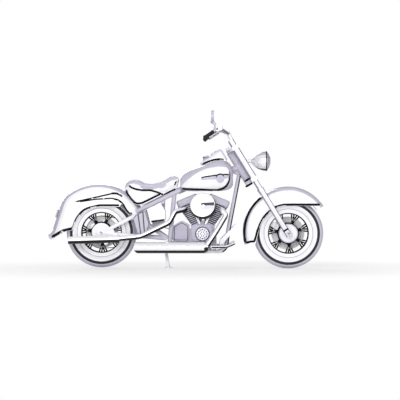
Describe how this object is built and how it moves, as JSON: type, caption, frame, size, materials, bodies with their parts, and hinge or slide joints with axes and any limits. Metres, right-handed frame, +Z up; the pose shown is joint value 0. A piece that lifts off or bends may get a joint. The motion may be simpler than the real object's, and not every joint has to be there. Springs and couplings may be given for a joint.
{
  "type": "cruiser motorcycle",
  "caption": "Low cruiser motorcycle with V-twin engine, deep fenders, raked fork, wire wheels and side exhausts; steering, wheels and stands move.",
  "frame": {"origin": "on the floor, under the middle of the overall length, in the machine's middle plane", "axes": "+X forward along the wheelbase, +Y to the rider's left, +Z up"},
  "size_m": [2.4219, 0.8802, 1.3766],
  "materials": {
    "white_paint": "gloss pearl",
    "lilac_paint": "satin",
    "chrome": "polished",
    "polished_alloy": "polished",
    "satin_alloy": "satin cast",
    "steel": "satin",
    "tyre": "matt",
    "seat_vinyl": "smooth",
    "black_rubber": "matt",
    "lens_glass": "clear",
    "lamp_lens": "gloss"
  },
  "bodies": {
    "chassis": {"frame_backbone": "lilac_paint", "frame_cradle": "lilac_paint", "rear_triangle": "lilac_paint", "rear_axle": "steel", "crankcase": "satin_alloy", "cam_cover": "polished_alloy", "cylinder_rear": "satin_alloy", "cylinder_front": "satin_alloy", "rocker_cover_rear": "polished_alloy", "rocker_cover_front": "polished_alloy", "pushrod_tubes": "chrome", "intake": "satin_alloy", "air_cleaner": "chrome", "gearbox": "satin_alloy", "drive_belt": "black_rubber", "primary_cover": "polished_alloy", "battery_box": "lilac_paint", "louvre_boxes": "lilac_paint", "side_covers": "white_paint", "fuel_tank": "white_paint", "dash_console": "chrome", "seat": "seat_vinyl", "rear_fender": "white_paint", "fender_struts": "lilac_paint", "tail_lamp": "lamp_lens", "exhaust_front": "chrome", "exhaust_rear": "chrome", "footboards": "polished_alloy", "foot_levers": "chrome"},
    "steering": {"fork_clamps": "polished_alloy", "fork_tubes": "chrome", "fork_sliders": "polished_alloy", "front_axle": "steel", "handlebar": "chrome", "grips": "black_rubber", "hand_controls": "polished_alloy", "mirrors": "chrome", "headlamp": "chrome", "headlamp_lens": "lens_glass", "front_fender": "white_paint", "brake_caliper": "satin_alloy"},
    "front_wheel": {"front_tyre": "tyre", "front_wheel": "chrome"},
    "rear_wheel": {"rear_tyre": "tyre", "rear_wheel": "chrome"},
    "centre_stand": {"centre_stand": "lilac_paint"},
    "side_stand": {"side_stand": "chrome"}
  },
  "joints": [
    {"name": "steering", "type": "hinge", "parent": "chassis", "child": "steering", "pos_m": [0.47709, 0, 0.8735], "axis": [-0.5225, 0, 0.8526], "range_deg": [-33, 33]},
    {"name": "front_wheel_spin", "type": "hinge", "parent": "steering", "child": "front_wheel", "pos_m": [0.902, 0, 0.308], "axis": [0, 1, 0], "continuous": true},
    {"name": "rear_wheel_spin", "type": "hinge", "parent": "chassis", "child": "rear_wheel", "pos_m": [-0.738, 0, 0.316], "axis": [0, 1, 0], "continuous": true},
    {"name": "centre_stand_fold", "type": "hinge", "parent": "chassis", "child": "centre_stand", "pos_m": [-0.176, 0, 0.172], "axis": [0, 1, 0], "range_deg": [0, 78]},
    {"name": "side_stand_fold", "type": "hinge", "parent": "chassis", "child": "side_stand", "pos_m": [0.167, 0.151, 0.152], "axis": [0, -0.8854, -0.4648], "range_deg": [0, 104], "stiffness_Nm_per_rad": 0.5, "springref_deg": -68.75}
  ]
}
